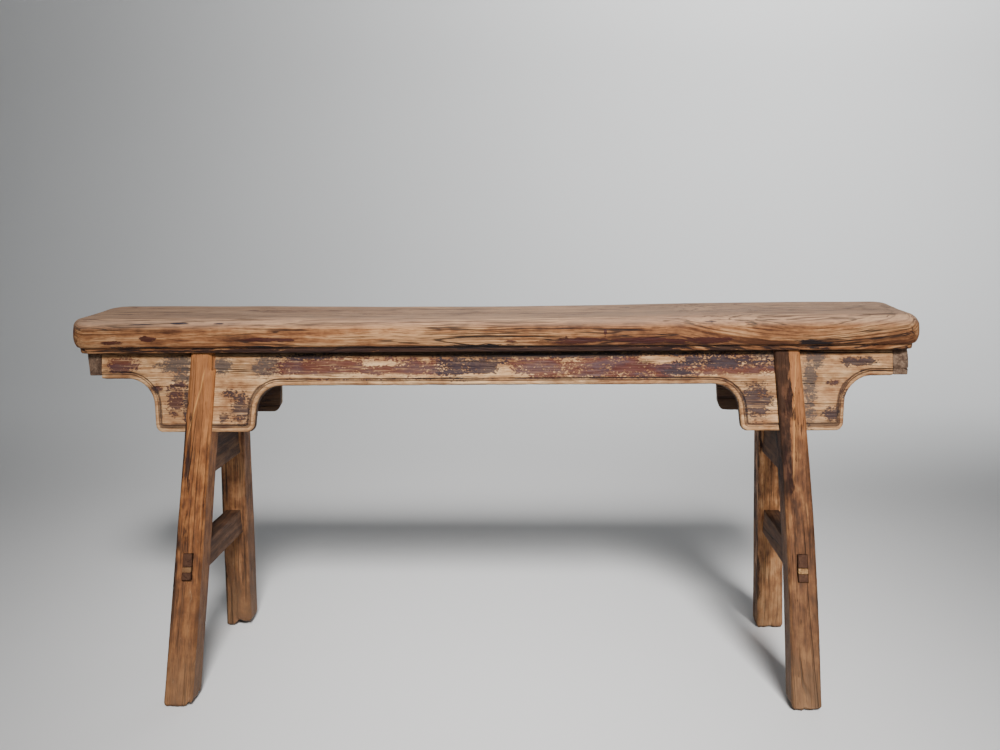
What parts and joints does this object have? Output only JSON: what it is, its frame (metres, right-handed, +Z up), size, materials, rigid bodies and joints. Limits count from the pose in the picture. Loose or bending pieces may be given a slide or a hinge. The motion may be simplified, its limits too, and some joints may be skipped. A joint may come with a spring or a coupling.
{
  "type": "backless bench",
  "caption": "Narrow backless plank bench: rounded thick seat, splayed square legs slotted over beaded aprons with curved spandrels, paired cross stretchers at each end.",
  "frame": {"origin": "on the floor, under the middle of the seat", "axes": "+X along the seat, to the right when seen from the front; +Y to the back; +Z up"},
  "size_m": [1.11, 0.3402, 0.5],
  "materials": {
    "seat_elm": "bare weathered elm, open dark grain, traces of dark lacquer along the lower edge",
    "apron_elm": "pale bare elm with worn remains of maroon and black lacquer",
    "spandrel_elm": "pale bare elm with dark lacquer remains",
    "leg_elm": "warm brown waxed elm, paler and dusty at the feet",
    "stretcher_elm": "dark brown aged elm, dull",
    "wedge_wood": "pale bare wood, cut end grain",
    "pin_bamboo": "plain bamboo, hidden in the joint"
  },
  "bodies": {
    "root": {"seat_plank": "seat_elm", "front_apron": "apron_elm", "rear_apron": "apron_elm", "left_end_apron": "apron_elm", "right_end_apron": "apron_elm", "spandrel_front_left": "spandrel_elm", "spandrel_front_right": "spandrel_elm", "spandrel_rear_left": "spandrel_elm", "spandrel_rear_right": "spandrel_elm", "leg_front_left": "leg_elm", "leg_front_right": "leg_elm", "leg_rear_left": "leg_elm", "leg_rear_right": "leg_elm", "upper_stretcher_left": "stretcher_elm", "upper_stretcher_right": "stretcher_elm", "lower_stretcher_left": "stretcher_elm", "lower_stretcher_right": "stretcher_elm", "tenon_wedges": "wedge_wood", "spandrel_pins": "pin_bamboo"}
  },
  "joints": []
}
